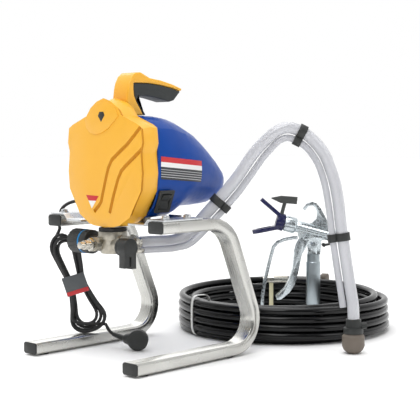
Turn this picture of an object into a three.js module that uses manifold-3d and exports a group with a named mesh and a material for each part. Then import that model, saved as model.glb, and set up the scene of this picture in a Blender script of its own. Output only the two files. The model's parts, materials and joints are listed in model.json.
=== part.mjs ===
// Airless paint sprayer: stand, drive, pump, suction set, hose coil and spray gun.
// Millimetres, +Z up, +X to the operator's right, -Y is the front of the machine.
import * as THREE from 'three';
import { mergeVertices } from 'three/addons/utils/BufferGeometryUtils.js';
import Module from 'manifold-3d';

const wasm = await Module();
wasm.setup();

// ---------------------------------------------------------------- driving dimensions
const gap = 0.3;                 // clearance between pieces that meet face to face
const standWidth = 293;          // outside to outside over the two legs
const tubeWidth = 34;            // leg tube, across the machine
const tubeHeight = 20;
const tubeWall = 1.5;
const footHeight = 3;
const skidLength = 237.5;        // straight part on the floor
const lowerBend = 50;            // centreline radii of the two bends
const upperBend = 60;
const lowerTurn = 113;           // degrees
const armHeight = 232;           // tube centre
const armFront = 57;             // where the arms end at the front
const sheet = 3;                 // tray thickness
const trayRear = 150;
const trayFloor = 236;           // top of the sunk middle of the tray
const coverFront = 59;
const coverRear = 97;
const coverWall = 3;
const motorAxis = 345;           // height of the motor shaft
const gearAxis = 297;            // height of the crank gear shaft
const gearModule = 2;
const pinionTeeth = 8;
const gearTeeth = 40;
const crankThrow = 10;
const pumpY = 78;                // the piston's axis, on x = 0
const manifoldAxis = 197;        // height of the manifold's cross bore
const handleWidth = 38;
const leadDiameter = 6;
const suctionDiameter = 21;
const returnDiameter = 12;
const hoseDiameter = 15;
const coilCentre = [5, 532];
const coilOuter = 211;
const coilInner = 175;
const coilTop = 60;
const gunPlace = [-2, 640];      // the gun stands here, inside the coil
const gunHeading = Math.atan2(-0.686, -0.728);

// ---------------------------------------------------------------- small tools
const degrees = Math.PI / 180;
const machine = new THREE.Group();
const onCords = new Set();

const finish = (color, roughness, metalness = 0) =>
  new THREE.MeshStandardMaterial({ color, roughness, metalness });

function add(name, shape, material, group = machine) {
  const geometry = shape.isBufferGeometry ? shape : toGeometry(shape);
  const mesh = new THREE.Mesh(geometry, material);
  mesh.name = name;
  group.add(mesh);
  return mesh;
}

function addLoose(name, shape, material) {
  onCords.add(add(name, shape, material));
}

function toSolid(geometry) {
  const bare = geometry.clone();
  bare.deleteAttribute('normal');
  bare.deleteAttribute('uv');
  const welded = mergeVertices(bare, 1e-4);
  const index = welded.index.array;
  const kept = [];
  for (let i = 0; i < index.length; i += 3) {
    const [a, b, c] = [index[i], index[i + 1], index[i + 2]];
    if (a !== b && b !== c && c !== a) kept.push(a, b, c);
  }
  const vertProperties = new Float32Array(welded.attributes.position.array);
  const triVerts = new Uint32Array(kept);
  return new wasm.Manifold(new wasm.Mesh({ numProp: 3, vertProperties, triVerts }));
}

function toGeometry(solid) {
  const mesh = solid.getMesh();
  const geometry = new THREE.BufferGeometry();
  geometry.setAttribute('position', new THREE.BufferAttribute(mesh.vertProperties, 3));
  geometry.setIndex(new THREE.BufferAttribute(mesh.triVerts, 1));
  geometry.computeVertexNormals();
  return geometry;
}

const join = (first, ...others) =>
  others.reduce((sum, shape) => sum.add(toSolid(shape)), toSolid(first));

const cut = (body, ...tools) => {
  const whole = body.isBufferGeometry ? toSolid(body) : body;
  return tools.reduce((left, tool) => left.subtract(toSolid(tool)), whole);
};

function block(x0, x1, y0, y1, z0, z1) {
  const geometry = new THREE.BoxGeometry(x1 - x0, y1 - y0, z1 - z0);
  return geometry.translate((x0 + x1) / 2, (y0 + y1) / 2, (z0 + z1) / 2);
}

function rod(radius, from, to, sides = 20, endRadius = radius) {
  const start = new THREE.Vector3(...from);
  const end = new THREE.Vector3(...to);
  const along = end.clone().sub(start);
  const geometry = new THREE.CylinderGeometry(endRadius, radius, along.length(), sides);
  const turn = new THREE.Quaternion().setFromUnitVectors(new THREE.Vector3(0, 1, 0), along.normalize());
  geometry.applyQuaternion(turn);
  const middle = start.add(end).multiplyScalar(0.5);
  return geometry.translate(middle.x, middle.y, middle.z);
}

function outline(points) {
  return new THREE.Shape(points.map(([u, v]) => new THREE.Vector2(u, v)));
}

// An outline drawn in (x, z) and carried along +Y from y0 to y1.
function plateXZ(points, y0, y1) {
  const geometry = new THREE.ExtrudeGeometry(outline(points), { depth: y1 - y0, bevelEnabled: false });
  return geometry.rotateX(Math.PI / 2).translate(0, y1, 0);
}

// An outline drawn in (y, z) and carried along +X from x0 to x1.
function plateYZ(points, x0, x1) {
  const geometry = new THREE.ExtrudeGeometry(outline(points), { depth: x1 - x0, bevelEnabled: false });
  return geometry.rotateX(Math.PI / 2).rotateZ(Math.PI / 2).translate(x0, 0, 0);
}

// A profile of (radius, distance) turned about the axis that starts at base and points along dir.
function turned(profile, base, dir, sides = 24) {
  const points = profile.map(([radius, along]) => new THREE.Vector2(radius, along));
  const geometry = new THREE.LatheGeometry(points, sides);
  const turn = new THREE.Quaternion().setFromUnitVectors(
    new THREE.Vector3(0, 1, 0), new THREE.Vector3(...dir).normalize());
  return geometry.applyQuaternion(turn).translate(...base);
}

// A curve that an extrusion follows exactly from point to point.
class Route extends THREE.Curve {
  constructor(points) {
    super();
    this.points = points.map((p) => new THREE.Vector3(...p));
  }
  getPoint(t) {
    const last = this.points.length - 1;
    const i = Math.min(Math.floor(t * last + 1e-9), last - 1);
    return this.points[i].clone().lerp(this.points[i + 1], t * last - i);
  }
  getPointAt(t) {
    return this.getPoint(t);
  }
  getTangentAt(t) {
    const last = this.points.length - 1;
    const i = Math.round(t * last);
    const before = this.points[Math.max(i - 1, 0)];
    const after = this.points[Math.min(i + 1, last)];
    return after.clone().sub(before).normalize();
  }
}

function sweep(section, points) {
  const shape = Array.isArray(section) ? outline(section) : section;
  return new THREE.ExtrudeGeometry(shape, {
    steps: points.length - 1, extrudePath: new Route(points), bevelEnabled: false, curveSegments: 2 });
}

function circle(radius, sides) {
  const step = 2 * Math.PI / sides;
  return Array.from({ length: sides }, (_, i) => [radius * Math.cos(i * step), radius * Math.sin(i * step)]);
}

// Evenly spaced points on a smooth curve through hand-set ones.
function smooth(points, steps) {
  const curve = new THREE.CatmullRomCurve3(points.map((p) => new THREE.Vector3(...p)), false, 'centripetal');
  return curve.getSpacedPoints(steps).map((p) => p.toArray());
}

// Points of an arc in a plane, from one angle to another in degrees.
function arc(u, v, radius, from, to, count) {
  return Array.from({ length: count + 1 }, (_, i) => {
    const angle = (from + (to - from) * i / count) * degrees;
    return [u + radius * Math.cos(angle), v + radius * Math.sin(angle)];
  });
}

function roundedBox(width, height, radius) {
  const [w, h] = [width / 2 - radius, height / 2 - radius];
  return [
    ...arc(w, h, radius, 0, 90, 1), ...arc(-w, h, radius, 90, 180, 1),
    ...arc(-w, -h, radius, 180, 270, 1), ...arc(w, -h, radius, 270, 360, 1)];
}

// ---------------------------------------------------------------- finishes
const steel = finish('#c9c9c4', 0.28, 1);
const brightSteel = finish('#d8dada', 0.22, 1);
const castMetal = finish('#b9b4a8', 0.38, 1);
const gearSteel = finish('#8d8f92', 0.4, 1);
const blackPlastic = finish('#2b2d2c', 0.55);
const rubber = finish('#1d1d1d', 0.8);
const yellowPlastic = finish('#f7be3e', 0.35);
const bluePlastic = finish('#1b4ea8', 0.3);
const ringBlue = finish('#1583c4', 0.4);
const copper = finish('#a8582c', 0.5, 1);
const boardGreen = finish('#1f5a34', 0.6);
const clearHose = finish('#d4d5da', 0.25);
const gunMetal = finish('#c9d2d6', 0.2, 1);
const gunGrip = finish('#9aa5a9', 0.45, 0.3);
const guardBlue = finish('#1b1e54', 0.4);
const strainerGrey = finish('#8a8076', 0.7);

// ---------------------------------------------------------------- stand
const legX = (standWidth - tubeWidth) / 2;
const skidHeight = tubeHeight / 2;
const lowerEnd = [
  skidLength + lowerBend * Math.sin(lowerTurn * degrees),
  skidHeight + lowerBend * (1 - Math.cos(lowerTurn * degrees))];
const upperCentreZ = armHeight - upperBend;
const upperStartZ = upperCentreZ + upperBend * Math.sin((lowerTurn - 90) * degrees);
const lean = Math.tan((lowerTurn - 90) * degrees);
const upperStartY = lowerEnd[0] - (upperStartZ - lowerEnd[1]) * lean;
const upperCentreY = upperStartY - upperBend * Math.cos((lowerTurn - 90) * degrees);

const legLine = [
  [0, skidHeight],
  ...arc(skidLength, skidHeight + lowerBend, lowerBend, -90, lowerTurn - 90, 9),
  ...arc(upperCentreY, upperCentreZ, upperBend, lowerTurn - 90, 90, 5),
  [armFront, armHeight]];

function leg(side) {
  const section = outline(roundedBox(tubeHeight, tubeWidth, 3));
  const bore = roundedBox(tubeHeight - 2 * tubeWall, tubeWidth - 2 * tubeWall, 1.5).reverse();
  section.holes.push(new THREE.Path(bore.map(([u, v]) => new THREE.Vector2(u, v))));
  const x = side * legX;
  return sweep(section, legLine.map(([y, z]) => [x, y, z]));
}

const footPlaces = { front: 24, rear: 226 };
const sides = { left: -1, right: 1 };

function foot(x, y) {
  const pad = rod(12, [x, y, -footHeight], [x, y, -gap], 16);
  const stud = rod(3.7, [x, y, -gap - 0.1], [x, y, tubeWall + 4], 12);
  return join(pad, stud);
}

function endCap(x, y, z) {
  const flange = sweep(roundedBox(tubeHeight, tubeWidth, 3), [[x, y - gap - 2.5, z], [x, y - gap, z]]);
  const halfRoom = tubeWall + 5 * gap;
  const plug = block(x - tubeWidth / 2 + halfRoom, x + tubeWidth / 2 - halfRoom,
    y - gap - 0.1, y + 12, z - tubeHeight / 2 + halfRoom, z + tubeHeight / 2 - halfRoom);
  return join(flange, plug);
}

for (const [side, sign] of Object.entries(sides)) {
  const x = sign * legX;
  const holes = Object.values(footPlaces).map((y) => rod(4.1, [x, y, -2], [x, y, tubeWall + 1], 12));
  add(`${side}_leg`, cut(leg(sign), ...holes), steel);
  for (const [place, y] of Object.entries(footPlaces)) {
    add(`${side}_${place}_foot`, foot(x, y), rubber);
  }
  add(`${side}_skid_cap`, endCap(x, 0, skidHeight), blackPlastic);
  add(`${side}_arm_cap`, endCap(x, armFront, armHeight), blackPlastic);
}

// The tray is one bent sheet: it lies on both arms and its middle is sunk between them.
const armTop = armHeight + tubeHeight / 2;
const trayTop = armTop + gap + sheet;
const trayEdge = standWidth / 2 - 1;
const jog = { outer: 108, inner: 99 };
const traySection = [
  [trayEdge, trayTop - sheet], [trayEdge, trayTop], [jog.outer, trayTop], [jog.inner, trayFloor],
  [-jog.inner, trayFloor], [-jog.outer, trayTop], [-trayEdge, trayTop], [-trayEdge, trayTop - sheet],
  [-jog.outer + 1, trayTop - sheet], [-jog.inner + 1, trayFloor - sheet],
  [jog.inner - 1, trayFloor - sheet], [jog.outer - 1, trayTop - sheet]];
const pumpNotch = 60;
const lip = (x0, x1) => block(x0, x1, trayRear - sheet, trayRear, trayFloor - 1, trayFloor + 11);
const tray = join(plateXZ(traySection, armFront + 1, trayRear), lip(66, 96), lip(-96, -66));
add('mounting_tray',
  cut(tray, block(-pumpNotch, pumpNotch, armFront - 5, coverRear + 8, trayFloor - 9, trayFloor + 5)),
  brightSteel);

// ---------------------------------------------------------------- drive
const plateFront = 106;
const plateRear = 120;
const housingHalf = [
  [50, trayFloor + gap], [50, 254], [56, 262], [60, 292], [75, 306], [80, 350], [68, 386], [40, 394]];
const housingEdge = [...housingHalf, ...housingHalf.map(([x, z]) => [-x, z]).reverse()];
const noseRadius = 15;
const housing = join(
  plateXZ(housingEdge, plateFront, plateRear),
  block(-noseRadius, noseRadius, pumpY, plateFront + 1, 238, 252),
  rod(noseRadius, [0, pumpY, 225.3], [0, pumpY, 252]));
const housingSolid = cut(housing,
  rod(8.4, [0, pumpY, 220], [0, pumpY, 260], 20),
  rod(6.2, [0, 100, gearAxis], [0, 130, gearAxis], 20),
  rod(8, [0, 100, motorAxis], [0, 130, motorAxis], 20));
add('drive_housing', housingSolid, castMetal);

function gearOutline(teeth, centreX, centreZ, turn) {
  const pitchRadius = gearModule * teeth / 2;
  const tip = pitchRadius + 0.7 * gearModule;
  const root = pitchRadius - 1.05 * gearModule;
  const pitch = 2 * Math.PI / teeth;
  const profile = [[root, -0.26], [tip, -0.1], [tip, 0.1], [root, 0.26]];
  return Array.from({ length: teeth }, (_, i) => profile.map(([radius, share]) => {
    const angle = turn + (i + share) * pitch;
    return [centreX + radius * Math.cos(angle), centreZ + radius * Math.sin(angle)];
  })).flat();
}

const gearFront = 92;
const gearBack = 102;
const crankPin = 5;
const gearDisc = plateXZ(gearOutline(gearTeeth, 0, gearAxis, Math.PI / 2), gearFront, gearBack);
add('crank_gear', join(gearDisc,
  rod(6, [0, gearBack - 1, gearAxis], [0, 126, gearAxis], 20),
  rod(crankPin, [crankThrow, 69, gearAxis], [crankThrow, gearFront + 1, gearAxis], 20)), gearSteel);

const yokeHalf = { x: 22, z: 33 };
const yokeFront = 72;
const yokeBack = 84;
const yoke = cut(
  join(
    block(-yokeHalf.x, yokeHalf.x, yokeFront, yokeBack, gearAxis - yokeHalf.z, gearAxis + yokeHalf.z),
    rod(8, [0, pumpY, gearAxis - yokeHalf.z + 2], [0, pumpY, 232], 20)),
  block(-16.2, 16.2, yokeFront - 5, yokeBack + 5, gearAxis - 26.5, gearAxis + 26.5));
add('crank_yoke', yoke, gearSteel);

const canRadius = 42;
const canRear = 226;
const motorCan = turned([
  [canRadius - 3, 0], [canRadius, 0], [canRadius, canRear - plateRear - gap],
  [6, canRear - plateRear - gap], [6, canRear - plateRear - gap - 4],
  [canRadius - 3, canRear - plateRear - gap - 4], [canRadius - 3, 0]],
  [0, plateRear + gap, motorAxis], [0, 1, 0], 32);
add('motor_can', motorCan, gearSteel);
const shaftRadius = 4;
const pinionTurn = -Math.PI / 2 + Math.PI / pinionTeeth;
const rotorSlots = Array.from({ length: 8 }, (_, i) => {
  const [across, up] = [Math.cos(i * Math.PI / 4), Math.sin(i * Math.PI / 4)];
  return rod(3, [31 * across, 130, motorAxis + 31 * up], [31 * across, 214, motorAxis + 31 * up], 8);
});
const rotorCore = cut(rod(31, [0, 136, motorAxis], [0, 206, motorAxis], 32), ...rotorSlots);
const rotorShaft = join(
  rod(shaftRadius, [0, 90, motorAxis], [0, 252, motorAxis], 16),
  plateXZ(gearOutline(pinionTeeth, 0, motorAxis, pinionTurn), gearFront, gearBack));
add('motor_rotor', rotorShaft.add(rotorCore), copper);

const fanBlades = Array.from({ length: 6 }, (_, i) => {
  const blade = block(6, 32, -1, 1, -6, 6).rotateX(0.5).rotateY(i * Math.PI / 3);
  return blade.translate(0, 240, motorAxis);
});
const fanHub = rod(10, [0, 232, motorAxis], [0, 248, motorAxis], 20);
add('cooling_fan', cut(join(fanHub, ...fanBlades),
  rod(shaftRadius + 0.05, [0, 225, motorAxis], [0, 260, motorAxis], 16)), blackPlastic);
add('control_board', join(
  block(-50, 50, 150, 215, 276, 278),
  block(-38, -16, 165, 195, 277.9, 292), rod(7, [30, 190, 277.9], [30, 190, 294], 12)), boardGreen);

// ---------------------------------------------------------------- covers
// The front cover's edge, right half from the bottom up; the left half mirrors it.
const coverHalf = [
  [0, 226], [26, 228], [39, 231], [64, 246], [71, 258], [91, 290], [94, 320], [91, 350], [91, 356],
  [95, 370], [92, 395], [82, 401], [45, 415], [34, 429], [18, 439.5], [0, 445]];
const mirrored = (half) => [
  ...half, ...half.slice(1, -1).reverse().map(([x, z]) => [-x, z])];
const coverMiddle = 336;
const shrink = (points, amount) => points.map(([x, z]) => {
  const reach = Math.hypot(x, z - coverMiddle);
  const share = (reach - amount) / reach;
  return [x * share, coverMiddle + (z - coverMiddle) * share];
});

// Rings of equal length joined into one closed skin, each ring at its own distance along Y.
function loft(rings) {
  const count = rings[0].points.length;
  const positions = [];
  for (const { y, points } of rings) {
    for (const [x, z] of points) positions.push(x, y, z);
  }
  const ends = [rings[0], rings[rings.length - 1]].map(({ y, points }) => {
    const mean = points.reduce(([a, b], [x, z]) => [a + x / count, b + z / count], [0, 0]);
    positions.push(mean[0], y, mean[1]);
    return positions.length / 3 - 1;
  });
  const index = [];
  for (let i = 0; i < count; i += 1) {
    const next = (i + 1) % count;
    for (let r = 0; r < rings.length - 1; r += 1) {
      const [a, b, c, d] = [r * count + i, r * count + next, (r + 1) * count + i, (r + 1) * count + next];
      index.push(a, d, b, a, c, d);
    }
    const last = (rings.length - 1) * count;
    index.push(ends[0], i, next, ends[1], last + next, last + i);
  }
  const geometry = new THREE.BufferGeometry();
  geometry.setAttribute('position', new THREE.Float32BufferAttribute(positions, 3));
  geometry.setIndex(index);
  geometry.computeVertexNormals();
  return geometry;
}

const coverEdge = mirrored(coverHalf);
const grooveDepth = 5;
const coverRings = (inset, front, rear) => loft([
  { y: front, points: shrink(coverEdge, inset) },
  { y: coverFront + 9 + inset / 2, points: shrink(coverEdge, grooveDepth + inset) },
  { y: coverFront + 21, points: shrink(coverEdge, inset) },
  { y: rear, points: shrink(coverEdge, inset + 1) }]);
const handleRoom = block(
  -handleWidth / 2 - 1, handleWidth / 2 + 1, coverRear - 1.5, coverRear + 5, 405, 460);
const frontCover = cut(coverRings(0, coverFront, coverRear),
  coverRings(coverWall, coverFront + coverWall, coverRear + 10),
  block(-noseRadius - 2, noseRadius + 2, coverFront + coverWall + 0.3, coverRear + 5, 215, 252), handleRoom);
add('front_cover', frontCover, yellowPlastic);

// Distance along Y, half width, top, bottom, and how boxy the section is: 1 is an ellipse.
const motorStations = [
  [coverRear + 0.5, 93, 416.3, 238.5, 0.6], [125, 92, 416.5, 239, 0.6], [145, 90.5, 416, 239.5, 0.62],
  [160, 89, 414, 240, 0.66], [182, 87, 409, 249, 0.74], [200, 84.5, 403, 255, 0.82],
  [224, 79.5, 395, 256, 0.92], [254, 71, 378, 256, 1], [285, 61, 353, 258, 1], [305, 50, 336, 267, 1],
  [318, 37, 322, 279, 1], [326, 20, 313, 289, 1], [330, 7, 306, 296, 1]];

function motorRing([y, halfWidth, top, bottom, squareness], inset) {
  const bend = (value) => Math.sign(value) * Math.abs(value) ** squareness;
  const [reach, rise] = [halfWidth - inset, (top - bottom) / 2 - inset];
  const points = Array.from({ length: 24 }, (_, i) => {
    const angle = (i + 0.5) * 2 * Math.PI / 24;
    return [reach * bend(Math.cos(angle)), (top + bottom) / 2 + rise * bend(Math.sin(angle))];
  });
  return { y, points };
}

const motorOuter = loft(motorStations.map((station) => motorRing(station, 0)));
const motorInner = loft(motorStations.slice(0, -1).map(([y, ...rest], i) =>
  motorRing([i === 0 ? y - 5 : y - coverWall * 0.6, ...rest], coverWall)));
const ventSlots = [0, 1, 2, 3, 4].map((i) =>
  block(-110, -20, 232 + i * 9, 236 + i * 9, 285 + i * 2, 345 - i * 4));
const switchHeight = 272;
const switchY = 116;
const switchX = 86;
const switchTilt = 22 * degrees;
const switchPocket = join(block(-20, 8, -14, 14, -17, 17), block(0.2, 20, -17.4, 17.4, -20.4, 20.4));
const switchRoom = toGeometry(switchPocket).rotateY(switchTilt).translate(switchX, switchY, switchHeight);
const footRoom = block(-51, 51, coverRear - 2, plateRear + 1, 230, 256);
const leadExit = [-88, 122, 268];
const glandHole = rod(6.6, [-70, leadExit[1], leadExit[2]], [-110, leadExit[1], leadExit[2]], 16);
add('motor_cover', cut(motorOuter, motorInner, ...ventSlots, switchRoom, footRoom, glandHole), bluePlastic);

// The rocker switch sits in a tilted pocket low on the right side of the motor cover.
const switchGroup = new THREE.Group();
switchGroup.position.set(switchX, switchY, switchHeight);
switchGroup.rotation.y = switchTilt;
machine.add(switchGroup);
const bezel = cut(
  join(block(0.5, 4, -17, 17, -20, 20), block(-14, 0.6, -13.6, 13.6, -16.6, 16.6)),
  block(-11, 6, -11, 11, -14, 14));
add('switch_bezel', bezel, blackPlastic, switchGroup);
const rockerProfile = [[-1, -13], [4.5, -13], [2.2, 0], [7, 13], [-1, 13], [-4, 0]];
const rockerGeometry = new THREE.ExtrudeGeometry(outline(rockerProfile), { depth: 20, bevelEnabled: false });
rockerGeometry.rotateX(Math.PI / 2).translate(0, 10, 0);
add('switch_rocker', rockerGeometry, rubber, switchGroup);

// ---------------------------------------------------------------- handle
const handleSide = [
  [97, 417], [96, 445], [98, 461], [101, 472], [107, 483], [116, 490], [128, 491], [138, 487], [150, 482],
  [177, 479], [206, 473], [229, 466], [226, 461.5], [206, 466.5], [176, 471], [148, 473], [112, 472.4],
  [111.5, 462], [113, 450], [118, 440], [127, 428], [134, 417]];
add('carry_handle', plateYZ(handleSide, -handleWidth / 2, handleWidth / 2), yellowPlastic);
const gripProfile = [
  [112.5, 472], [148, 472.6], [176, 470.6], [206, 466.1], [225.5, 461.2], [209, 445], [198, 442],
  [182, 445], [166, 448], [141, 451], [124, 450], [121, 443], [141, 417.6], [134.7, 417.6],
  [127.5, 428.3], [118.4, 440.3], [113.4, 450.2], [112, 462]];
add('handle_grip', plateYZ(gripProfile, -handleWidth / 2 + 1, handleWidth / 2 - 1), rubber);

// ---------------------------------------------------------------- pump
add('pump_gasket', cut(rod(24, [0, pumpY, 219], [0, pumpY, 225], 28),
  rod(9, [0, pumpY, 210], [0, pumpY, 230], 20)), rubber);
const manifoldHalf = 28;
const returnHeight = 187;
const outletX = -15;
const inletX = 14;
const manifold = join(
  rod(25, [0, pumpY, 206], [0, pumpY, 218.7], 28),
  rod(20, [0, pumpY, 181], [0, pumpY, 207], 24),
  rod(16, [-manifoldHalf, pumpY, manifoldAxis], [manifoldHalf, pumpY, manifoldAxis], 24),
  rod(12, [outletX, pumpY, manifoldAxis], [outletX, 46, manifoldAxis], 20),
  rod(13, [inletX, pumpY, manifoldAxis], [inletX, 108, manifoldAxis], 20),
  rod(6.5, [8, 96, returnHeight], [manifoldHalf, 96, returnHeight], 14));
add('pump_manifold', cut(manifold,
  rod(7, [0, pumpY, 190], [0, pumpY, 230], 20)), castMetal);
const rodTop = 231.4;
add('piston_rod', rod(6.5, [0, pumpY, 201], [0, pumpY, rodTop], 20), brightSteel);

add('hose_outlet', join(
  rod(11.5, [outletX, 45.7, manifoldAxis], [outletX, 38, manifoldAxis], 6),
  rod(8, [outletX, 38.5, manifoldAxis], [outletX, 26, manifoldAxis], 16),
  rod(6, [outletX, 26.5, manifoldAxis], [outletX, 17, manifoldAxis], 16)), brightSteel);
const suctionStart = 126;
add('inlet_fitting', join(
  rod(15, [inletX, 108.3, manifoldAxis], [inletX, 118, manifoldAxis], 6),
  rod(11, [inletX, 117, manifoldAxis], [inletX, suctionStart - 3 * gap, manifoldAxis], 20)), brightSteel);

const knobX = -manifoldHalf - gap;
const controlNeck = 24;
const drumEnd = knobX - controlNeck - 15;
add('pressure_control', join(
  rod(13, [knobX, pumpY, manifoldAxis], [knobX - controlNeck, pumpY, manifoldAxis], 24),
  rod(21, [knobX - controlNeck + 0.5, pumpY, manifoldAxis], [drumEnd, pumpY, manifoldAxis], 32),
  rod(6, [drumEnd + 1, pumpY, manifoldAxis], [drumEnd - 13, pumpY, manifoldAxis], 16)), blackPlastic);
const ringX = drumEnd - gap;
add('dial_ring', cut(rod(21.2, [ringX, pumpY, manifoldAxis], [ringX - 3.4, pumpY, manifoldAxis], 32),
  rod(7, [ringX + 2, pumpY, manifoldAxis], [ringX - 6, pumpY, manifoldAxis], 16)), ringBlue);
const knobRibs = Array.from({ length: 18 }, (_, i) => {
  const angle = i * 2 * Math.PI / 18;
  return rod(1.4, [ringX - 8, pumpY + 22 * Math.cos(angle), manifoldAxis + 22 * Math.sin(angle)],
    [ringX - 40, pumpY + 22 * Math.cos(angle), manifoldAxis + 22 * Math.sin(angle)], 6);
});
add('pressure_knob', cut(
  rod(21.5, [ringX - 3.7, pumpY, manifoldAxis], [ringX - 30, pumpY, manifoldAxis], 36),
  rod(6.4, [ringX, pumpY, manifoldAxis], [ringX - 18, pumpY, manifoldAxis], 16), ...knobRibs), blackPlastic);

const primeY = 68;
const primeHeight = 194;
const primeX = manifoldHalf + gap;
add('prime_valve', join(
  rod(9, [primeX, primeY, primeHeight], [primeX + 4, primeY, primeHeight], 20),
  rod(15, [primeX + 3.5, primeY, primeHeight], [primeX + 10, primeY, primeHeight], 28),
  rod(5, [primeX + 9, primeY, primeHeight], [primeX + 18, primeY, primeHeight], 16)), blackPlastic);
const leverX = primeX + 10.3;
const fin = (y0, y1, depth) => block(
  leverX + 3, leverX + 17, primeY + y0, primeY + y1, primeHeight - depth, primeHeight);
add('prime_lever', cut(
  join(rod(15.5, [leverX, primeY, primeHeight], [leverX + 18, primeY, primeHeight], 32),
    fin(-13, -2, 34), fin(2, 13, 36)),
  rod(5.2, [leverX - 2, primeY, primeHeight], [leverX + 9, primeY, primeHeight], 16)), blackPlastic);
const returnStart = [44, 106, returnHeight];
add('return_barb', join(
  rod(5.5, [manifoldHalf + gap, 96, returnHeight], [returnStart[0], 96, returnHeight], 14),
  rod(5.5, [returnStart[0], 90, returnHeight], [returnStart[0], returnStart[1] - gap, returnHeight], 16)),
  brightSteel);

// ---------------------------------------------------------------- mains lead
add('strain_relief', rod(
  6.2, [-84, leadExit[1], leadExit[2]], [-106, leadExit[1], leadExit[2]], 16, 4.2), rubber);
const leadPath = smooth([
  [-106.3, 122, 268], [-118, 121, 267], [-132, 113, 265], [-145, 100, 260], [-152.5, 90, 250],
  [-153.5, 86, 236], [-153.5, 85, 222], [-153.5, 85, 212]], 18);
addLoose('lead_drop', sweep(circle(leadDiameter / 2, 8), leadPath), rubber);

const hankTop = new THREE.Vector3(-153, 84, 209);
const hankEnd = new THREE.Vector3(-121, 135, 22.5);
const hankLength = hankEnd.distanceTo(hankTop);
const hankTopRadius = 27;
const hankWaist = { half: 17, down: 92 };
const hankFootRadius = 36;
const hankDepth = 22;
const hankAlong = hankEnd.clone().sub(hankTop).normalize();
const hankNormal = hankAlong.clone().cross(new THREE.Vector3(0.728, 0.686, 0)).normalize();
const hankSide = hankAlong.clone().cross(hankNormal);
const hankGroup = new THREE.Group();
hankGroup.position.copy(hankTop);
hankGroup.quaternion.setFromRotationMatrix(new THREE.Matrix4().makeBasis(hankSide, hankAlong, hankNormal));
machine.add(hankGroup);

// The folded lead is tied in the middle, so its outline has a round lobe at each end and a waist.
const hankEdge = [
  ...arc(0, hankTopRadius, hankTopRadius, 165, 375, 8),
  [hankWaist.half, hankWaist.down],
  ...arc(0, hankLength - hankFootRadius, hankFootRadius, -25, 205, 9),
  [-hankWaist.half, hankWaist.down]];
const hank = new THREE.ExtrudeGeometry(outline(hankEdge), { depth: hankDepth, bevelEnabled: false });
onCords.add(add('lead_hank', hank.translate(0, 0, -hankDepth / 2), rubber, hankGroup));

const plugRelief = [[-82, 150, 21], [-54, 153.4, 15.5]];
const tailPath = smooth([[-105, 149, 37], [-98, 149.6, 31], [-90, 149.6, 25], [-83, 150, 21.4]], 5);
addLoose('lead_tail', sweep(circle(leadDiameter / 2, 8), tailPath), rubber);

// The lead enters the plug's round head from the side; the pins stand out of its rear face.
const plugAxis = new THREE.Vector3(-0.684, 0.7265, 0);
const plugSide = new THREE.Vector3(0.7265, 0.684, 0);
const onPlug = (along, across) => new THREE.Vector3(-23, 157, 16.5)
  .addScaledVector(plugAxis, along).addScaledVector(plugSide, across).toArray();
const pin = (across) => rod(2.4, onPlug(8, across), onPlug(29, across), 12);
addLoose('mains_plug', join(
  rod(3.7, ...plugRelief, 16, 5.6),
  rod(6.5, [-54.6, 153.3, 15.5], [-50, 153.9, 15.6], 16, 9),
  rod(9, [-51, 153.8, 15.6], [-32, 156.1, 16.4], 20, 13),
  rod(15, onPlug(-11, 0), onPlug(-7.9, 0), 28, 18.5),
  rod(18.5, onPlug(-8, 0), onPlug(9, 0), 28),
  pin(-9.5), pin(9.5)), blackPlastic);

// ---------------------------------------------------------------- suction set
const suctionEnd = [271, 404, 58];
const suctionPoints = [
  [inletX, suctionStart, manifoldAxis], [15, 147, 197], [23, 169, 196.5], [39, 190, 198.5], [59, 208, 213],
  [77, 224.4, 241], [96, 242, 270], [117.8, 262.2, 306], [146, 288.2, 360], [177.3, 317.3, 395],
  [206.2, 344, 386], [229.5, 365.6, 354], [243, 378, 311], [249.5, 384, 272], [255, 389.2, 213],
  [265, 398.7, 125], [270, 403, 85], [suctionEnd[0], suctionEnd[1], suctionEnd[2] + 2 * gap]];
const suctionPath = smooth(suctionPoints, 34);
addLoose('suction_tube', sweep(circle(suctionDiameter / 2, 10), suctionPath), clearHose);

// Both tubes lie in one upright plane after they leave the pump; the thin one runs inside the arch.
const archPlane = new THREE.Vector3(229, 212, 0).normalize();
const tubeSpacing = (suctionDiameter + returnDiameter) / 2 + 1.2;
const suctionCurve = new THREE.CatmullRomCurve3(
  suctionPoints.map((p) => new THREE.Vector3(...p)), false, 'centripetal');

function archFrame(share) {
  const tangent = suctionCurve.getTangentAt(share);
  const along = tangent.dot(archPlane);
  const inward = archPlane.clone().multiplyScalar(tangent.z);
  inward.add(new THREE.Vector3(0, 0, -along)).normalize();
  return { at: suctionCurve.getPointAt(share), tangent, inward };
}

function besideSuction(share) {
  const { at, inward } = archFrame(share);
  return at.addScaledVector(inward, tubeSpacing).toArray();
}

const returnShares = [0.215, 0.237, 0.26, 0.29, 0.33, 0.4, 0.47, 0.54, 0.6, 0.66, 0.73, 0.8, 0.88, 0.94, 0.97];
const returnPath = smooth([
  returnStart, [44, 124, 186.5], [49, 148, 186], [61, 173, 188],
  [77, 196, 198], ...returnShares.map(besideSuction)], 32);
addLoose('return_tube', sweep(circle(returnDiameter / 2, 8), returnPath), clearHose);

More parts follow.
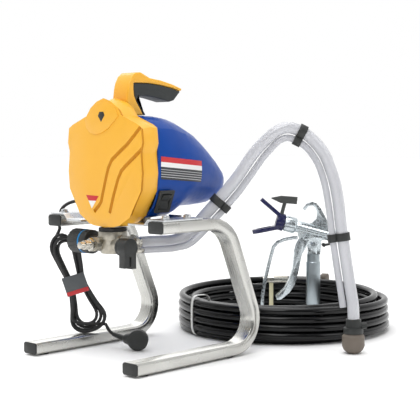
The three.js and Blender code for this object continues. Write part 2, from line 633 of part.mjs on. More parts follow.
const clipSlack = 1.3;
const clipShares = { low: 0.237, top: 0.52, end: 0.8 };
for (const [place, share] of Object.entries(clipShares)) {
  const { at, tangent, inward } = archFrame(share);
  const beside = at.clone().addScaledVector(inward, tubeSpacing);
  const through = (radius, centre, half) => rod(radius,
    centre.clone().addScaledVector(tangent, -half).toArray(),
    centre.clone().addScaledVector(tangent, half).toArray(), 14);
  const [big, small] = [suctionDiameter / 2, returnDiameter / 2];
  addLoose(`tube_clip_${place}`, cut(
    join(through(big + 3, at, 7), through(small + 3, beside, 7)),
    through(big + clipSlack, at, 12), through(small + clipSlack, beside, 12)), blackPlastic);
}

const [footX, footY] = suctionEnd;
addLoose('strainer_collar', join(
  rod(13.5, [footX, footY, suctionEnd[2]], [footX, footY, 42], 24),
  rod(17.5, [footX, footY, 43], [footX, footY, 33], 28),
  rod(6, [footX, footY, 46], [footX + 17, footY + 16, 46], 14)), blackPlastic);
addLoose('inlet_strainer', turned([
  [0, 0], [7, 0], [13, 2.5], [17.5, 7.5], [20, 14], [20, 31], [16, 35.6], [0, 35.6]],
  [footX, footY, -footHeight], [0, 0, 1], 28), strainerGrey);

// ---------------------------------------------------------------- hose
const [coilX, coilY] = coilCentre;
const onCoil = (radius, angle, z) => [
  coilX + radius * Math.cos(angle * degrees), coilY + radius * Math.sin(angle * degrees), z];
const coilFloor = -footHeight + 0.5;
const hoseLoop = turned([
  [coilInner + 4, 0], [coilOuter - 4, 0], [coilOuter, 4], [coilOuter, 44],
  [coilOuter - 6, coilTop - coilFloor],
  [coilInner + 4, coilTop - coilFloor], [coilInner, 44], [coilInner, 4], [coilInner + 4, 0]],
  [coilX, coilY, coilFloor], [0, 0, 1], 32);
const tailZ = coilTop + hoseDiameter / 2 - 0.5;
const fittingAngle = 125;
const springAngle = 112;
const innerTail = 180.5;
const outerTail = 203.5;
const tail = (radius, from, to) => sweep(circle(hoseDiameter / 2, 8),
  Array.from({ length: 7 }, (_, i) => onCoil(radius, from + (to - from) * i / 6, tailZ)));
addLoose('hose_coil', join(
  hoseLoop, tail(innerTail, fittingAngle, 60), tail(outerTail, springAngle, 170)), rubber);

const tangentAt = (angle) => new THREE.Vector3(-Math.sin(angle * degrees), Math.cos(angle * degrees), 0);
function alongFrom(radius, angle, aim, thickness, distances) {
  const start = new THREE.Vector3(...onCoil(radius, angle, coilTop + gap + thickness));
  return distances.map((d) => start.clone().addScaledVector(tangentAt(aim), d).toArray());
}
const [ferruleStart, ferruleEnd, nutEnd, stubEnd] = alongFrom(
  innerTail, fittingAngle, fittingAngle + 9, 10, [4, 34, 50, 58]);
addLoose('hose_fitting', join(
  rod(8.5, ferruleStart, ferruleEnd, 24), rod(10, ferruleEnd, nutEnd, 6),
  rod(6, nutEnd, stubEnd, 16)), brightSteel);
const [springStart, springEnd, capEnd] = alongFrom(
  outerTail, springAngle, springAngle - 6, 12, [-4, -27, -39]);
addLoose('bend_restrictor', join(
  rod(8.5, springStart, springEnd, 20), rod(12, springEnd, capEnd, 24)), strainerGrey);

// ---------------------------------------------------------------- spray gun
// In the gun's own frame +X is the way it sprays and the swivel's foot is the origin.
const gun = new THREE.Group();
gun.position.set(...gunPlace, -footHeight);
gun.rotation.z = gunHeading;
machine.add(gun);
const barrelTilt = 15 * degrees;
const barrelStart = new THREE.Vector3(0, 0, 188.5);
const barrelDir = new THREE.Vector3(Math.cos(barrelTilt), 0, Math.sin(barrelTilt));
const onBarrel = (along, up = 0) => [
  along * barrelDir.x - up * barrelDir.z, 0, barrelStart.z + along * barrelDir.z + up * barrelDir.x];
const gunPlate = (points, half) => plateXZ(points, -half, half);
const gripRadius = 15;
const bodyBase = 140;

const hookSide = [
  [-34, 186], [-33, 197], [-26, 215], [-14.5, 236], [-6, 246], [3, 249.5], [14, 246], [23, 235],
  [19, 231], [12, 239], [4, 242], [-3, 238], [-7.5, 228], [-6, 214], [4, 205], [22, 200], [26, 188]];
const bodySide = [
  [-13.5, bodyBase], [10, bodyBase], [13, 158], [24, 166], [33, 178], [33, 203], [20, 204], [-30, 192],
  [-34, 176], [-16, 168]];
const gunBody = cut(
  join(gunPlate(hookSide, 4), gunPlate(bodySide, 10.5), rod(12.5, onBarrel(-38), onBarrel(38), 24),
    rod(14, onBarrel(-37), onBarrel(-50), 24), rod(12.5, [0, 0, bodyBase], [0, 0, 165], 24)),
  rod(4, onBarrel(-30), onBarrel(45), 16));
add('gun_body', gunBody.add(toSolid(rod(4, [17, -15, 172], [17, 15, 172], 16))), gunMetal, gun);
add('gun_needle', rod(2.4, onBarrel(-24), onBarrel(37), 12), brightSteel, gun);
add('gun_handle', turned([
  [0, 25], [9, 25], [12, 29], [gripRadius, 36], [gripRadius, 122], [13.4, 124], [13.4, bodyBase - gap],
  [0, bodyBase - gap]], [0, 0, 0], [0, 0, 1], 28), gunGrip, gun);
add('gun_swivel', join(
  rod(6, [0, 0, 24.7], [0, 0, 12], 16), rod(11, [0, 0, 13], [0, 0, 0.2], 6)), gunMetal, gun);

const guardLine = [
  [33.4, 0, 173.6], [42, 0, 174], [62, 0, 170], [76, 0, 164], [84, 0, 154], [90, 0, 132], [97, 0, 103],
  [103, 0, 76], [107, 0, 50], [107, 0, 30], [102, 0, 21], [92, 0, 19], [60, 0, 18.5], [14, 0, 18.5]];
const guardSection = [[-2.5, -3.6], [2.5, -3.6], [2.5, 3.6], [-2.5, 3.6]];
const guardRing = cut(rod(9.5, [0, 0, 16.4], [0, 0, 21.4], 24), rod(6.3, [0, 0, 10], [0, 0, 26], 24));
const guardStrip = sweep(guardSection, guardLine);
const guardReach = block(8, 16, -4, 4, 17.2, 20.2);
const triggerGuard = toSolid(guardStrip).add(guardRing).add(toSolid(guardReach));

const triggerSide = [
  [17, 181], [10.5, 178], [8.5, 170], [14, 158], [25, 140], [28.5, 122], [33, 100], [40, 76],
  [51, 59], [68, 45], [77, 44], [79, 50], [61, 67], [51, 86], [44, 110], [41, 140], [36, 160], [26, 177]];
const trigger = cut(gunPlate(triggerSide, 14), block(-5, 60, -11.2, 11.2, 143, 190),
  block(-5, 36, -11.2, 11.2, 100, 150),
  rod(4.4, [17, -16, 172], [17, 16, 172], 16));
add('gun_trigger', trigger, gunMetal, gun);
add('trigger_guard', triggerGuard, gunMetal, gun);
add('trigger_lock', join(
  rod(4, [-21.6, -7, 158.6], [-21.6, 7, 158.6], 14),
  gunPlate([[-22, 156], [-22, 160.6], [-38, 163], [-38, 159]], 5)),
  blackPlastic, gun);

add('retaining_nut', cut(turned([
  [0, 0], [15, 0], [17, 3], [17, 22], [15.5, 26], [0, 26]], onBarrel(38.3), barrelDir.toArray(), 16),
  rod(7, onBarrel(30), onBarrel(70), 16)), brightSteel, gun);
const guardBase = 64.6;
const tipAt = guardBase + 9;
const wingThickness = 8;
const wingSpread = 26 * degrees;
const wing = (sign) => {
  const loop = outline([
    [0, -15], [30, -17], [46, -15], [54, -8], [54, 8], [46, 15], [30, 17], [0, 15]]);
  loop.holes.push(new THREE.Path([
    [14, 9], [30, 10], [43, 8], [47, 0], [43, -8], [30, -10], [14, -9]].map(
    ([u, v]) => new THREE.Vector2(u, v))));
  const plate = new THREE.ExtrudeGeometry(loop, { depth: wingThickness, bevelEnabled: false });
  plate.translate(0, 0, -wingThickness / 2).rotateY(-barrelTilt - sign * wingSpread);
  return plate.translate(...onBarrel(guardBase + 10, sign * 12));
};
add('tip_guard', cut(
  join(rod(18, onBarrel(guardBase), onBarrel(guardBase + 17), 28), wing(1), wing(-1)),
  rod(6.3, onBarrel(tipAt, -14), onBarrel(tipAt, 30), 20),
  rod(5, onBarrel(guardBase - 3), onBarrel(guardBase + 60), 16)), guardBlue, gun);
const arrow = gunPlate([[-24, -7], [10, -8], [30, -1], [30, 1], [10, 7], [-24, 8]], 6);
arrow.rotateY(-barrelTilt * 0.4).translate(...onBarrel(tipAt, 48));
add('spray_tip', join(
  rod(6, onBarrel(tipAt, -12), onBarrel(tipAt, 18.5), 20),
  rod(4, onBarrel(tipAt, 18), onBarrel(tipAt, 47), 14),
  arrow), blackPlastic, gun);

// ---------------------------------------------------------------- origin
// The origin lies on the floor, under the middle of everything but the loose cords.
machine.updateMatrixWorld(true);
const settled = new THREE.Box3();
machine.traverse((piece) => {
  if (piece.isMesh && !onCords.has(piece)) settled.expandByObject(piece, true);
});
const middle = settled.getCenter(new THREE.Vector3());
machine.position.set(-middle.x, -middle.y, -settled.min.z);

const sprayer = new THREE.Group();
sprayer.add(machine);

export default sprayer;
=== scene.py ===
import json
import math

import bmesh
import bpy
from mathutils import Matrix, Vector

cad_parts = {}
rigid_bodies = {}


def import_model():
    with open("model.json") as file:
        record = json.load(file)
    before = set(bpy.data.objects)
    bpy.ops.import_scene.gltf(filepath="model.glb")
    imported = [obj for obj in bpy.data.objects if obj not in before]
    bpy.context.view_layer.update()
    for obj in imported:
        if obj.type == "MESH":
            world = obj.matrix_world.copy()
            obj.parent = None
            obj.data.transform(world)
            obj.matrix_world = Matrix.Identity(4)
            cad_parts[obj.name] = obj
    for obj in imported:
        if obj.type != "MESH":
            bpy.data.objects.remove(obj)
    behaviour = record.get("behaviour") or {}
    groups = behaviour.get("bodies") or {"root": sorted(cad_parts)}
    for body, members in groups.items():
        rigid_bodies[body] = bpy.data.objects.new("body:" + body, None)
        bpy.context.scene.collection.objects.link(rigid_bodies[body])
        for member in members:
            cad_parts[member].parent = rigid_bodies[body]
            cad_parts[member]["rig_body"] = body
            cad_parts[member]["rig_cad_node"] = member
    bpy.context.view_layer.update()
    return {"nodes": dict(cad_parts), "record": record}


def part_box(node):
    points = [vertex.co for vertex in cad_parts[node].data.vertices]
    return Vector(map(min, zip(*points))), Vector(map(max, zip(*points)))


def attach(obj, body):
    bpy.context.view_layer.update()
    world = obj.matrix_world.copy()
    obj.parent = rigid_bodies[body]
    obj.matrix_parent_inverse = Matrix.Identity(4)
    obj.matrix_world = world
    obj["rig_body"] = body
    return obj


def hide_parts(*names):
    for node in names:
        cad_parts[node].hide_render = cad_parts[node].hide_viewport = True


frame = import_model()
print("frame loaded")

# ---- places: everything is measured in millimetres from the front ends of the skids
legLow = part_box("left_leg")[0]
benchZero = Vector((0, legLow.y, legLow.z))


def at(x, y, z):
    return benchZero + Vector((x, y, z)) / 1000


# ---- camera
camera = dict(place=(1.369, -1.4721, 0.3723), turn=43.3, down=3.6, lens=91.3)
cameraData = bpy.data.cameras.new("camera")
cameraData.lens = camera["lens"]
cameraObject = bpy.data.objects.new("camera", cameraData)
cameraObject.location = camera["place"]
cameraObject.rotation_euler = (math.radians(90 - camera["down"]), 0, math.radians(camera["turn"]))
bpy.context.scene.collection.objects.link(cameraObject)
bpy.context.scene.camera = cameraObject
bpy.context.scene.view_settings.view_transform = "Standard"


# ---- materials
def linear(hexColour):
    parts = [int(hexColour[i:i + 2], 16) / 255 for i in (1, 3, 5)]
    return [c / 12.92 if c <= 0.04045 else ((c + 0.055) / 1.055) ** 2.4 for c in parts] + [1]


def perMm(size):                     # noise scale whose features are that many millimetres apart
    return 1000 / size


def addNode(tree, kind, settings=None, links=None):
    node = tree.nodes.new(kind)
    for name, value in (settings or {}).items():
        if isinstance(name, str) and hasattr(node, name):
            setattr(node, name, value)
        else:
            node.inputs[name].default_value = value
    for name, source in (links or {}).items():
        tree.links.new(source, node.inputs[name])
    return node


def newMaterial(name, colour, roughness, metallic=0, **more):
    material = bpy.data.materials.new(name)
    material.use_nodes = True
    shader = material.node_tree.nodes["Principled BSDF"]
    shader.inputs["Base Color"].default_value = linear(colour)
    shader.inputs["Roughness"].default_value = roughness
    shader.inputs["Metallic"].default_value = metallic
    for socket, value in more.items():
        shader.inputs[socket.replace("_", " ")].default_value = value
    return material, material.node_tree, shader


def placeOf(tree, stretch=(1, 1, 1)):
    where = addNode(tree, "ShaderNodeTexCoord")
    return addNode(tree, "ShaderNodeMapping", {"Scale": stretch}, {"Vector": where.outputs["Object"]})


# colour drifts between two tones, over patches of a given size
def drift(tree, shader, place, tones, patch, detail=3):
    noise = addNode(tree, "ShaderNodeTexNoise", {"Scale": perMm(patch), "Detail": detail},
                    {"Vector": place.outputs[0]})
    mix = addNode(tree, "ShaderNodeMix", {"data_type": "RGBA", 6: linear(tones[0]), 7: linear(tones[1])},
                  {0: noise.outputs["Fac"]})
    tree.links.new(mix.outputs[2], shader.inputs["Base Color"])


# gloss drifts between two roughness values
def glossDrift(tree, shader, place, low, high, patch):
    noise = addNode(tree, "ShaderNodeTexNoise", {"Scale": perMm(patch), "Detail": 4},
                    {"Vector": place.outputs[0]})
    spread = addNode(tree, "ShaderNodeMapRange",
                     {"From Min": 0.35, "From Max": 0.65, "To Min": low, "To Max": high},
                     {"Value": noise.outputs["Fac"]})
    tree.links.new(spread.outputs[0], shader.inputs["Roughness"])


def grain(tree, shader, place, size, height, detail=2):
    noise = addNode(tree, "ShaderNodeTexNoise", {"Scale": perMm(size), "Detail": detail},
                    {"Vector": place.outputs[0]})
    bump = addNode(tree, "ShaderNodeBump", {"Strength": 1, "Distance": height / 1000},
                   {"Height": noise.outputs["Fac"]})
    tree.links.new(bump.outputs[0], shader.inputs["Normal"])


# injection moulded plastic: even colour, a spark-eroded texture that breaks up its gloss
def mouldedPlastic(name, tones, roughness, size=0.9, height=0.03, coat=0.0, shine=0.5):
    material, tree, shader = newMaterial(name, tones[0], roughness, IOR=1.5)
    shader.inputs["Specular IOR Level"].default_value = shine
    shader.inputs["Coat Weight"].default_value = coat
    shader.inputs["Coat Roughness"].default_value = 0.18
    place = placeOf(tree)
    drift(tree, shader, place, tones, 45)
    glossDrift(tree, shader, place, roughness - 0.05, roughness + 0.06, 12)
    grain(tree, shader, place, size, height)
    return material


# metal whose surface was worked along one direction: fine lines, drawn coarse enough to show
def brushedMetal(name, tones, roughness, stretch, line=0.8, height=0.02):
    material, tree, shader = newMaterial(name, tones[0], roughness, 1)
    place = placeOf(tree, stretch)
    drift(tree, shader, placeOf(tree), tones, 60)
    glossDrift(tree, shader, place, roughness - 0.06, roughness + 0.1, line * 3)
    grain(tree, shader, place, line, height, 5)
    return material


# blasted or as-cast metal: a fine pebbled skin, darker in its hollows
def castMetal(name, tones, roughness, size=1.4, height=0.12):
    material, tree, shader = newMaterial(name, tones[0], roughness, 1)
    place = placeOf(tree)
    drift(tree, shader, place, tones, 9, 6)
    glossDrift(tree, shader, place, roughness - 0.08, roughness + 0.1, 4)
    grain(tree, shader, place, size, height, 5)
    return material


tubeSteel = brushedMetal("linishedSteelTube", ("#CFCFCB", "#BDBCB7"), 0.24, (1, 0.05, 0.05), 1.4, 0.005)
zincPlate = brushedMetal("zincPlatedSheet", ("#DDDFE0", "#C6C9CB"), 0.3, (0.1, 1, 1))
turnedSteel = brushedMetal("turnedPlatedSteel", ("#D2CFC7", "#C0BCB2"), 0.24, (0.3, 1, 1), 1.2, 0.003)
pumpCasting = castMetal("blastedAluminiumCasting", ("#BDB8AC", "#8F8A7E"), 0.36)
gearSteel = castMetal("hobbedGearSteel", ("#8F9194", "#6C6E71"), 0.4, 0.8, 0.03)
gunCasting = castMetal("polishedAluminiumCasting", ("#D6DDE0", "#BCC6CB"), 0.26, 3.5, 0.02)
gunSleeve = brushedMetal("anodisedGripSleeve", ("#B9C2C6", "#A5AFB4"), 0.34, (1, 1, 0.15))
yellowAbs = mouldedPlastic("mouldedYellowAbs", ("#F3B636", "#EFAF2E"), 0.36, 1.1, 0.02, 0.1)
# painted shade: a darker yellow for the groove walls and the step flank, standing in for the shade that
# lies in them
grooveShadeAbs = mouldedPlastic("yellowAbsPaintedGrooveShade", ("#CF8A06", "#C48103"), 0.5, 0.8, 0.04, 0.0, 0.3)
blueAbs = mouldedPlastic("mouldedBlueAbs", ("#00439A", "#003B8C"), 0.34, 1.1, 0.02, 0.0, 0.22)
blackNylon = mouldedPlastic("glassFilledBlackNylon", ("#2B2D2C", "#232524"), 0.5, 0.7, 0.05)
softGrip = mouldedPlastic("overmouldedGripRubber", ("#2E3231", "#272A29"), 0.62, 1.6, 0.12)
feetRubber = mouldedPlastic("blackFootRubber", ("#1D1D1D", "#262626"), 0.75, 1.2, 0.06)
dialBlue = mouldedPlastic("blueDialPlastic", ("#1583C4", "#117AB8"), 0.35)
navyNylon = mouldedPlastic("navyGuardNylon", ("#15184F", "#0F1240"), 0.28, 2.0, 0.03, 0.1)
tipPlastic = mouldedPlastic("greyTipHandlePlastic", ("#4A4C4A", "#3C3E3C"), 0.45, 0.8, 0.05)
strainerPlastic = mouldedPlastic("strainerPlastic", ("#7A7066", "#5F564D"), 0.6, 1.0, 0.08)
circuitBoard = mouldedPlastic("solderMaskBoard", ("#1F5A34", "#17472A"), 0.5)
copperWinding = brushedMetal("enamelledCopper", ("#A8582C", "#8A4320"), 0.4, (1, 0.1, 1), 1.2, 0.1)
leadPvc = mouldedPlastic("mattLeadPvc", ("#1B1B1C", "#222223"), 0.55, 1.5, 0.03)
creamTie = mouldedPlastic("creamTieTape", ("#EFE8C4", "#E4DAB0"), 0.5)
whiteTie = mouldedPlastic("whiteTieTape", ("#F1F1EE", "#E2E2DE"), 0.45)
labelRed = mouldedPlastic("printedRedInk", ("#C8272D", "#B92228"), 0.4, 3, 0.005)
tagGrey = mouldedPlastic("printedGreyCard", ("#55595C", "#4B4F52"), 0.5, 2, 0.01)


# printed vinyl: flat bands of ink over the height of the label
def printedLabel(name, bands, roughness, slope=0.0):
    material, tree, shader = newMaterial(name, bands[0][1], roughness)
    place = addNode(tree, "ShaderNodeTexCoord")
    parts = addNode(tree, "ShaderNodeSeparateXYZ", None, {"Vector": place.outputs["Object"]})
    leaning = addNode(tree, "ShaderNodeMath", {"operation": "MULTIPLY_ADD", 1: slope},
                      {0: parts.outputs[1], 2: parts.outputs[2]})
    base = addNode(tree, "ShaderNodeRGB")
    base.outputs[0].default_value = linear(bands[0][1])
    last = base.outputs[0]
    for height, tone in bands[1:]:
        start = at(0, 104, height)
        above = addNode(tree, "ShaderNodeMath", {"operation": "GREATER_THAN", 1: start.z + slope * start.y},
                        {0: leaning.outputs[0]})
        mix = addNode(tree, "ShaderNodeMix", {"data_type": "RGBA", 7: linear(tone)},
                      {0: above.outputs[0], 6: last})
        last = mix.outputs[2]
    tree.links.new(last, shader.inputs["Base Color"])
    glossDrift(tree, shader, placeOf(tree), roughness - 0.05, roughness + 0.06, 15)
    grain(tree, shader, placeOf(tree), 3, 0.005)
    return material


sideLabel = printedLabel("printedSideLabel", (
    (300, "#2E3033"), (313, "#C4C5C6"), (314, "#2E3033"), (317, "#C4C5C6"), (318, "#2E3033"),
    (321, "#B9BABB"), (322, "#2E3033"), (325, "#B9BABB"), (326, "#2E3033"), (330, "#ECECEA"),
    (338, "#C8272D")), 0.35, 0.0826)
warningSticker = printedLabel("printedCoverSticker", ((250, "#EDEDEA"), (270.5, "#C8272D")), 0.4)
print("materials made")


# ---- the bench: selecting, editing and finishing pieces
def only(piece):
    bpy.ops.object.select_all(action="DESELECT")
    piece.hide_set(False)
    piece.select_set(True)
    bpy.context.view_layer.objects.active = piece


def openPiece(piece, kind="FACE"):
    only(piece)
    bpy.ops.object.mode_set(mode="EDIT")
    bpy.ops.mesh.select_mode(type=kind)
    bpy.ops.mesh.select_all(action="DESELECT")


def closePiece():
    bpy.ops.object.mode_set(mode="OBJECT")


def pickFaces(piece, test):
    shape = bmesh.from_edit_mesh(piece.data)
    for face in shape.faces:
        face.select_set(bool(test(face)))
    bmesh.update_edit_mesh(piece.data)


def applyModifier(piece, kind, **settings):
    only(piece)
    modifier = piece.modifiers.new(kind.lower(), kind)
    for name, value in settings.items():
        setattr(modifier, name, value)
    bpy.ops.object.modifier_apply(modifier=modifier.name)


def settle(piece, name, body, material, replaces=(), smooth=35):
    only(piece)
    bpy.ops.object.transform_apply(location=True, rotation=True, scale=True)
    bpy.ops.object.shade_smooth_by_angle(angle=math.radians(smooth))
    piece.name = name
    piece.data.name = name
    if material:
        piece.data.materials.clear()
        piece.data.materials.append(material)
    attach(piece, body)
    if replaces:
        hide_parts(*replaces)
    return piece


bodyOf = {n: body for body, members in frame["record"]["behaviour"]["bodies"].items() for n in members}


# a copy of a CAD node with its triangles merged and its faces made whole
def copyNode(node):
    only(frame["nodes"][node])
    bpy.ops.object.duplicate()
    piece = bpy.context.active_object
    piece.parent = None
    piece.matrix_world = Matrix.Identity(4)
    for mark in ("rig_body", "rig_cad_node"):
        del piece[mark]
    only(piece)
    if piece.data.has_custom_normals:
        bpy.ops.mesh.customdata_custom_splitnormals_clear()
    openPiece(piece)
    bpy.ops.mesh.select_all(action="SELECT")
    bpy.ops.mesh.remove_doubles(threshold=2e-5)
    bpy.ops.mesh.dissolve_limited(angle_limit=math.radians(0.6))
    closePiece()
    return piece


def dressNode(node, material, edge=0.5, steps=2, sharp=30, smooth=35):
    piece = copyNode(node)
    if edge:
        breakEdges(piece, edge, steps, sharp, use_clamp_overlap=True, harden_normals=False)
    return settle(piece, node + "_finished", bodyOf[node], material, [node], smooth)


# a flat blank cut to an outline: a filled circle whose rim is moved to the outline, then thickened
def cutBlank(outline, lay, thickness, edge, wider=None):
    bpy.ops.object.select_all(action="DESELECT")
    bpy.ops.mesh.primitive_circle_add(vertices=len(outline), radius=1, fill_type="NGON")
    blank = bpy.context.active_object
    for corner, (u, v) in zip(blank.data.vertices, outline):
        corner.co = lay(u, v, 0)
    outward = (lay(0, 0, 1) - lay(0, 0, 0)).normalized()
    openPiece(blank)
    bpy.ops.mesh.select_all(action="SELECT")
    bpy.ops.mesh.extrude_region_move(TRANSFORM_OT_translate={"value": outward * thickness / 1000})
    bpy.ops.mesh.select_all(action="SELECT")
    bpy.ops.mesh.normals_make_consistent(inside=False)
    closePiece()
    if wider:                        # the far side is drawn out to a second outline
        raised = [lay(u, v, thickness) for u, v in outline]
        for corner in list(blank.data.vertices)[len(outline):]:
            nearest = min(range(len(outline)), key=lambda i: (raised[i] - corner.co).length)
            corner.co = lay(*wider[nearest], thickness)
    if edge:
        breakEdges(blank, edge)
    return blank


# a strip of even width along a line of points, as one closed outline
def ribbon(line, width):
    sides = ([], [])
    for i, (u, v) in enumerate(line):
        (u0, v0), (u1, v1) = line[max(0, i - 1)], line[min(len(line) - 1, i + 1)]
        long = math.hypot(u1 - u0, v1 - v0)
        across = (-(v1 - v0) / long * width / 2, (u1 - u0) / long * width / 2)
        sides[0].append((u + across[0], v + across[1]))
        sides[1].append((u - across[0], v - across[1]))
    return sides[0] + sides[1][::-1]


def breakEdges(piece, width, steps=2, sharp=30, **more):
    applyModifier(piece, "BEVEL", width=width / 1000, segments=steps, limit_method="ANGLE",
                  angle_limit=math.radians(sharp), **more)


def carve(piece, cutter, operation="DIFFERENCE"):
    applyModifier(piece, "BOOLEAN", object=cutter, operation=operation, solver="EXACT",
                  material_mode="TRANSFER")
    bpy.data.objects.remove(cutter, do_unlink=True)


def paintNode(node, material):
    frame["nodes"][node].material_slots[0].material = material


# ---- cords: one curve each, in the space that its plain solids hold
def layCord(name, points, diameter, material):
    curve = bpy.data.curves.new(name, "CURVE")
    curve.dimensions = "3D"
    curve.bevel_depth = diameter / 2000
    curve.bevel_resolution = 5
    curve.use_fill_caps = True
    line = curve.splines.new("POLY")
    line.points.add(len(points) - 1)
    for slot, point in zip(line.points, points):
        slot.co = (*point, 1)
    line.use_smooth = True
    cord = bpy.data.objects.new(name, curve)
    bpy.context.scene.collection.objects.link(cord)
    curve.materials.append(material)
    return cord


# even steps along a smooth line through given points
def smoothLine(points, steps):
    dense = []
    count = len(points)
    for i in range(count - 1):
        before, start, end, after = (points[max(0, min(count - 1, j))] for j in (i - 1, i, i + 1, i + 2))
        for k in range(12):
            t = k / 12
            pull = 2 * before - 5 * start + 4 * end - after
            twist = 3 * start - before - 3 * end + after
            dense.append(0.5 * ((2 * start) + (end - before) * t + pull * t * t + twist * t ** 3))
    dense.append(points[-1])
    lengths = [0]
    for a, b in zip(dense, dense[1:]):
        lengths.append(lengths[-1] + (b - a).length)
    even = []
    place = 0
    for i in range(steps + 1):
        goal = lengths[-1] * i / steps
        while place < len(dense) - 2 and lengths[place + 1] < goal:
            place += 1
        share = (goal - lengths[place]) / (lengths[place + 1] - lengths[place])
        even.append(dense[place].lerp(dense[place + 1], min(1, share)))
    return even


def lengthOf(points):
    return sum((b - a).length for a, b in zip(points, points[1:]))


# mains lead: down from the gland, folded in a waisted hank, out to the plug
lead = dict(diameter=6, top=(-153, 84, 209), end=(-121, 135, 22.5), depth=7.5,
            turns=4.5, stepsPerTurn=28, firstStep=3, points=300)
leadDrop = [at(*p) for p in [(-106.3, 122, 268), (-118, 121, 267), (-132, 113, 265), (-145, 100, 260),
                             (-152.5, 90, 250), (-153.5, 86, 236), (-153.5, 85, 222), (-153.5, 85, 212)]]
leadTail = [at(*p) for p in [(-105, 149, 37), (-98, 149.6, 31), (-90, 149.6, 25), (-83, 150, 21.4)]]
hankTop, hankEnd = at(*lead["top"]), at(*lead["end"])
hankDown = (hankEnd - hankTop).normalized()
hankLength = (hankEnd - hankTop).length * 1000
hankFront = hankDown.cross(Vector((0.728, 0.686, 0))).normalized()
hankAcross = hankDown.cross(hankFront)


def onHank(across, down, front):
    return hankTop + (hankAcross * across + hankDown * down + hankFront * front) / 1000


# the loops are narrow at the tie and open out towards both ends, further at the bottom
def hankPoint(turn):
    angle = turn * 2 * math.pi
    wide = 1 - 0.2 * (int(turn) % 3)
    bottom = 0.5 - 0.5 * math.cos(angle)
    across = wide * ((23 + 6 * bottom) * math.sin(angle) + (9 + 6 * bottom) * math.sin(3 * angle))
    reach = (hankLength / 2 - 5) * (1 - 0.07 * (int(turn + 0.25) % 3))
    down = hankLength / 2 + 1 - reach * math.cos(angle)
    front = -lead["depth"] + 2 * lead["depth"] * turn / lead["turns"]
    return onHank(across, down, front)


lastStep = int(lead["turns"] * lead["stepsPerTurn"]) - 2
leadLoops = [hankPoint(i / lead["stepsPerTurn"]) for i in range(lead["firstStep"], lastStep)]
leadPoints = smoothLine(leadDrop + leadLoops[::2] + leadTail, lead["points"])
leadLine = layCord("mains_lead", leadPoints, lead["diameter"], leadPvc)
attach(leadLine, "frame")
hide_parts("lead_drop", "lead_hank", "lead_tail")
print("lead", round(lengthOf(leadPoints), 3))

# suction tube and thin return tube, side by side over the arch
suction = dict(diameter=21, returnDiameter=12, gap=1.2, steps=200)
suctionKnots = [at(*p) for p in [
    (14, 126, 197), (15, 147, 197), (23, 169, 196.5), (39, 190, 198.5), (59, 208, 213),
    (77, 224.4, 241), (96, 242, 270), (117.8, 262.2, 306), (146, 288.2, 360), (177.3, 317.3, 395),
    (206.2, 344, 386), (229.5, 365.6, 354), (243, 378, 311), (249.5, 384, 272), (255, 389.2, 213),
    (265, 398.7, 125), (270, 403, 85), (271, 404, 58.6)]]
suctionPoints = smoothLine(suctionKnots, suction["steps"])
archAlong = Vector((229, 212, 0)).normalized()


def besideSuction(share, apart):
    last = suction["steps"]
    place = share * last
    i = min(last - 1, int(place))
    point = suctionPoints[i].lerp(suctionPoints[i + 1], place - i)
    heading = (suctionPoints[min(last, i + 2)] - suctionPoints[max(0, i - 1)]).normalized()
    inward = (archAlong * heading.z - Vector((0, 0, heading.dot(archAlong)))).normalized()
    return point + inward * apart / 1000


tubeSpacing = (suction["diameter"] + suction["returnDiameter"]) / 2 + suction["gap"]
returnShares = [0.215, 0.237, 0.26, 0.29, 0.33, 0.4, 0.47, 0.54, 0.6, 0.66, 0.73, 0.8, 0.88, 0.94, 0.97]
returnKnots = [at(*p) for p in [(44, 106, 187), (44, 124, 186.5), (49, 148, 186), (61, 173, 188),
                                (77, 196, 198)]]
returnPoints = smoothLine(returnKnots + [besideSuction(s, tubeSpacing) for s in returnShares],
                          suction["steps"])


# clear vinyl: pale and milky in a thick wall, with polyester braid under the skin of the big one
def vinylHose(name, tones, braidAround, braidAlong, weight):
    material, tree, shader = newMaterial(name, tones[0], 0.2, IOR=1.52)
    shader.inputs["Transmission Weight"].default_value = 0.25
    shader.inputs["Coat Weight"].default_value = 0.5
    shader.inputs["Coat Roughness"].default_value = 0.1
    where = addNode(tree, "ShaderNodeTexCoord")
    threads = []
    for lean in (1, -1):
        turned = addNode(tree, "ShaderNodeMapping", {"Scale": (braidAlong, braidAround * lean, 1)},
                         {"Vector": where.outputs["UV"]})
        parts = addNode(tree, "ShaderNodeSeparateXYZ", None, {"Vector": turned.outputs[0]})
        total = addNode(tree, "ShaderNodeMath", {"operation": "ADD"},
                        {0: parts.outputs[0], 1: parts.outputs[1]})
        wave = addNode(tree, "ShaderNodeMath", {"operation": "PINGPONG", 1: 0.5}, {0: total.outputs[0]})
        thread = addNode(tree, "ShaderNodeMapRange",
                         {"From Min": 0.06, "From Max": 0.16, "To Min": 1, "To Max": 0},
                         {"Value": wave.outputs[0]})
        threads.append(thread.outputs[0])
    both = addNode(tree, "ShaderNodeMath", {"operation": "MAXIMUM"}, {0: threads[0], 1: threads[1]})
    share = addNode(tree, "ShaderNodeMath", {"operation": "MULTIPLY", 1: weight}, {0: both.outputs[0]})
    place = placeOf(tree)
    mix = addNode(tree, "ShaderNodeMix", {"data_type": "RGBA", 6: linear(tones[0]), 7: linear(tones[1])},
                  {0: share.outputs[0]})
    tree.links.new(mix.outputs[2], shader.inputs["Base Color"])
    glossDrift(tree, shader, place, 0.12, 0.26, 20)
    return material


